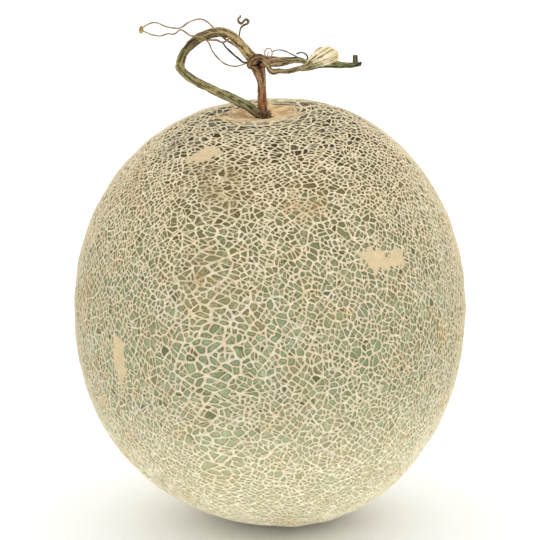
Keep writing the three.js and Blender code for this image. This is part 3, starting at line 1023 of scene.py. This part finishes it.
def rind_ridge(shader, field, level, low_down):
    """Colour of the corky ridges, with painted highlights on their crests and in flecks, paler low down
    (partly their own colour, partly painted light from below) and lighter high up with painted light from
    above.
    """
    # Crests painted lighter than the ridges' sides: painted highlight on the crests, painted shade on the
    # sides.
    ridge = shader.mix(shader.between(field, *CREST_HIGHLIGHT), (178, 167, 131), (210, 202, 173))
    # Lighter low down: partly the lower rind's own paler colour, partly painted light from below.
    ridge = shader.tint(ridge, (254, 249, 220), 0.95, low_down)
    ridge = shader.tint(ridge, (226, 192, 142), 0.45, shader.patches(0.50, 0.72, 13, 4))
    ridge = shader.tint(ridge, (212, 208, 192), 0.45, shader.patches(0.54, 0.68, 9, 2, (1.0, 1.0, 1.3)))
    # Lighter high up: painted light from above.
    ridge = shader.tint(ridge, (238, 222, 187), 0.7, shader.between(level, *HIGH_UP))
    # Near-white flecks: painted highlights on the ridge tops.
    ridge = shader.tint(ridge, (255, 250, 228), 0.16, shader.patches(0.36, 0.64, 1.1))
    ridge = shader.tint(ridge, (170, 155, 114), 0.36, shader.patches(0.62, 0.42, 1.7))
    return shader.tint(ridge, (226, 190, 158), 0.20, shader.patches(0.52, 0.66, 4.5))


def rind_material():
    shader = Shader("netted_rind", specular=0.2)
    wobble = shader.math("SUBTRACT", shader.noise(0.9), 0.5)
    field = shader.math("MULTIPLY_ADD", wobble, 0.20, shader.attribute("net"))
    level = shader.attribute("level")
    low_down = shader.between(level, *LOW_DOWN)
    on_ridge = shader.between(field, *ON_RIDGE)
    floor = rind_floor(shader, field, shader.attribute("tone"), level, low_down)
    colour = shader.mix(on_ridge, floor, rind_ridge(shader, field, level, low_down))
    colour = shader.tint(colour, (172, 132, 80), 0.30, shader.patches(0.60, 0.76, 38, 5))
    cloudy = shader.patches(0.36, 0.60, 7, 4)
    for longitude, height, reach, tint, strength in BLOTCHES:
        near = shader.math("MULTIPLY", shader.spot(surface_point(longitude, height), reach), cloudy)
        colour = shader.tint(colour, tint, strength, near)
    cork = shader.mix(shader.noise(2.4, 4), (190, 168, 128), (222, 203, 166))
    colour = shader.mix(shader.attribute("scar"), colour, cork)
    crown = shader.mix(shader.patches(0.38, 0.64, 4, 4), (228, 198, 150), (184, 148, 102))
    colour = shader.mix(shader.attribute("crown"), colour, crown)

    roughness = shader.between(on_ridge, 0.0, 1.0, 0.72, 0.85)
    grain = shader.math("MULTIPLY", shader.noise(0.5, 4), shader.between(on_ridge, 0.0, 1.0, 0.15, 1.0))
    profile = shader.math("ADD", shader.between(field, 0.1, -0.35), shader.math("MULTIPLY", grain, 0.35))
    return shader.finish(colour, roughness, shader.bump(profile, 0.28, 0.55))


def stem_material(name, crests, grooves, stain=None):
    """A dry stem, whose crests and grooves follow stops along it. The crests' colours carry painted
    highlight and the grooves' painted shade, along with the stem's own streaks.
    """
    shader = Shader(name, specular=0.3)
    along, relief = shader.attribute("along"), shader.attribute("relief")
    light, dark = shader.ramp(along, crests), shader.ramp(along, grooves)
    mottle = shader.noise(1.6, 5)
    lifted = shader.math("MULTIPLY_ADD", shader.math("SUBTRACT", mottle, 0.5), 1.1, relief)
    # Lighter where the skin stands out and darker where it dips: painted highlight and painted shade,
    # broken up by a mottle of real colour.
    colour = shader.mix(shader.between(lifted, -0.55, 0.45), dark, light)
    if stain:
        colour = shader.tint(colour, stain, 0.55, shader.patches(0.56, 0.70, 3.2, 4))
    height = shader.math("MULTIPLY_ADD", shader.noise(0.35, 4), 0.5, relief)
    roughness = shader.between(mottle, 0.3, 0.7, 0.68, 0.88)
    return shader.finish(colour, roughness, shader.bump(height, 0.12, 0.6))


FAN_PAPER = ((0, 164, 148, 104), (0.3, 214, 203, 160), (0.6, 240, 233, 204), (1, 238, 226, 184))
FAN_SEAMS = ((0, 52, 40, 22), (0.5, 96, 80, 48), (1, 190, 170, 122))


def leaf_base_material():
    shader = Shader("papery_base", specular=0.25)
    along, relief = shader.attribute("along"), shader.attribute("relief")
    paper = shader.ramp(along, FAN_PAPER)
    paper = shader.tint(paper, (196, 166, 104), 0.6, shader.patches(0.54, 0.68, 0.9, 4))
    seam = shader.ramp(along, FAN_SEAMS)
    worn = shader.math("MULTIPLY_ADD", shader.math("SUBTRACT", shader.noise(2.2, 4), 0.5), 1.6, relief)
    colour = shader.mix(shader.between(worn, -0.95, -0.15), seam, paper)
    height = shader.math("MULTIPLY_ADD", shader.noise(0.4, 4), 0.6, relief)
    return shader.finish(colour, 0.85, shader.bump(height, 0.15, 0.6))


# Stems: what builds each, the solid it stands for, its slot, its material's name, the colours of its
# crests and of its grooves as (place along the stem, red, green, blue), and the colour of its stains. The
# crests' colours carry painted highlight and the grooves' colours painted shade.
STEMS = (
    (build_stalk, "fruit_stalk", "green_stalk", "stalk",
     ((0, 96, 70, 46), (0.05, 122, 112, 74), (0.10, 132, 130, 90), (0.18, 152, 150, 106),
      (0.26, 160, 148, 102), (0.40, 158, 148, 104), (0.50, 150, 142, 86), (0.62, 108, 94, 60),
      (0.74, 170, 150, 104), (1, 188, 166, 118)),
     ((0, 38, 26, 16), (0.06, 58, 54, 32), (0.20, 68, 66, 38), (0.40, 84, 72, 40), (0.50, 76, 70, 28),
      (0.62, 50, 40, 22), (0.80, 94, 74, 42), (1, 90, 68, 40)),
     (176, 156, 108)),
    (build_shoot, "dry_shoot", "dry_stem", "shoot",
     ((0, 106, 84, 54), (0.12, 150, 106, 70), (0.35, 152, 108, 72), (0.60, 176, 140, 98),
      (1, 140, 104, 68)),
     ((0, 42, 31, 19), (0.15, 84, 44, 26), (0.4, 100, 54, 32), (0.7, 98, 70, 46), (1, 64, 42, 24)),
     (120, 72, 46)),
    (build_knot, "vine_knot", "dry_stem", "knot",
     ((0, 148, 124, 84), (0.5, 150, 114, 78), (1, 164, 150, 104)),
     ((0, 46, 32, 18), (0.5, 42, 27, 16), (1, 84, 70, 40)), None),
    (build_upper_strand, "vine_upper_strand", "vine", "upper_vine",
     ((0, 196, 162, 130), (0.35, 166, 142, 102), (1, 150, 144, 98)),
     ((0, 56, 34, 22), (0.4, 44, 32, 18), (1, 46, 42, 20)), None),
    (build_lower_strand, "vine_lower_strand", "vine", "lower_vine",
     ((0, 180, 152, 108), (0.35, 172, 156, 112), (0.6, 136, 122, 84), (1, 176, 164, 118)),
     ((0, 96, 72, 44), (0.4, 84, 72, 44), (1, 64, 52, 28)), None),
    (build_vine_end, "vine_end", "vine", "vine_end",
     ((0, 136, 122, 80), (0.4, 150, 148, 98), (0.96, 124, 122, 78), (1, 70, 62, 40)),
     ((0, 60, 50, 28), (0.5, 58, 60, 28), (1, 34, 32, 18)), None),
    (build_peg, "vine_peg", "vine", "peg",
     ((0, 110, 108, 60), (0.85, 98, 96, 52), (1, 80, 72, 44)),
     ((0, 50, 52, 24), (1, 46, 42, 22)), None),
)


# ---- Set: floor, light and camera ----

def build_floor():
    half = FLOOR_HALF_SIZE
    mesh = bpy.data.meshes.new("floor")
    corners = [(-half, -half, 0), (half, -half, 0), (half, half, 0), (-half, half, 0)]
    mesh.from_pydata(corners, [], [(0, 1, 2, 3)])
    floor = bpy.data.objects.new("floor", mesh)
    bpy.context.scene.collection.objects.link(floor)
    shader = Shader("studio_floor", specular=0.2)
    mesh.materials.append(shader.finish((253, 253, 253), 0.9))


def build_world():
    """An even white surround, dimmer on the camera's side and plain white where the camera sees it."""
    world = bpy.data.worlds.new("studio")
    bpy.context.scene.world = world
    world.use_nodes = True
    nodes = Nodes(world.node_tree)
    facing = nodes.node("ShaderNodeVectorMath", operation="DOT_PRODUCT")
    nodes.set(facing.inputs[0], nodes.node("ShaderNodeTexCoord").outputs["Generated"])
    facing.inputs[1].default_value = (0, -1, 0)
    light = nodes.between(facing.outputs["Value"], *SURROUND_CHANGE, SURROUND_LIGHT, CAMERA_SIDE_LIGHT)
    seen = nodes.node("ShaderNodeMix")
    nodes.set(seen.inputs[0], nodes.node("ShaderNodeLightPath").outputs["Is Camera Ray"])
    nodes.set(seen.inputs[2], light)
    seen.inputs[3].default_value = 1.0
    background = world.node_tree.nodes["Background"]
    background.inputs["Color"].default_value = (1, 1, 1, 1)
    nodes.set(background.inputs["Strength"], seen.outputs[0])
    bpy.context.scene.view_settings.view_transform = "Standard"


def place_towards(name, data, place, target):
    """Puts a lamp or a camera at a place, turned towards a target."""
    placed = bpy.data.objects.new(name, data)
    placed.location = place
    placed.rotation_euler = (target - Vector(place)).to_track_quat("-Z", "Y").to_euler()
    bpy.context.scene.collection.objects.link(placed)
    return placed


def build_lamp(middle):
    light = bpy.data.lights.new("low_front", "AREA")
    light.shape = "SQUARE"
    light.size = LAMP_SIZE
    light.energy = LAMP_WATTS
    place_towards("low_front", light, LAMP_PLACE, middle)


def build_camera(middle):
    camera = bpy.data.cameras.new("camera")
    camera.lens = CAMERA_LENS
    camera.clip_start = 0.01
    away = Vector((0, -math.cos(CAMERA_ELEVATION), math.sin(CAMERA_ELEVATION)))
    up = Vector((0, math.sin(CAMERA_ELEVATION), math.cos(CAMERA_ELEVATION)))
    place = middle + away * CAMERA_DISTANCE * MM
    bpy.context.scene.camera = place_towards("camera", camera, place, middle + up * CAMERA_AIM_RAISE * MM)


def add_piece(piece, node, material):
    piece.data.materials.append(material)
    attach(piece, "root")
    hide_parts(node)


# ---- The scene ----

melon_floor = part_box("melon")[0][2]
melon_middle = Vector((0, 0, melon_floor + WIDEST_HEIGHT * MM))

build_floor()
build_world()
build_lamp(melon_middle)
build_camera(melon_middle)
add_piece(build_melon(), "melon", rind_material())
for build, node, slot, name, crests, grooves, stain in STEMS:
    add_piece(build(), node, stem_material(name, crests, grooves, stain))
add_piece(build_leaf_base(), "dried_leaf_base", leaf_base_material())
bud_material = stem_material("bud", ((0, 192, 164, 108),), ((0, 134, 102, 58),))
add_piece(build_bud(), "tendril_bud", bud_material)
for number, (node, (radii, light, dark, route)) in enumerate(TENDRILS.items()):
    piece = build_tendril(node, radii, route, TENDRIL_SEED + 2 * number)
    add_piece(piece, node, stem_material(node, ((0, *light),), ((0, *dark),)))
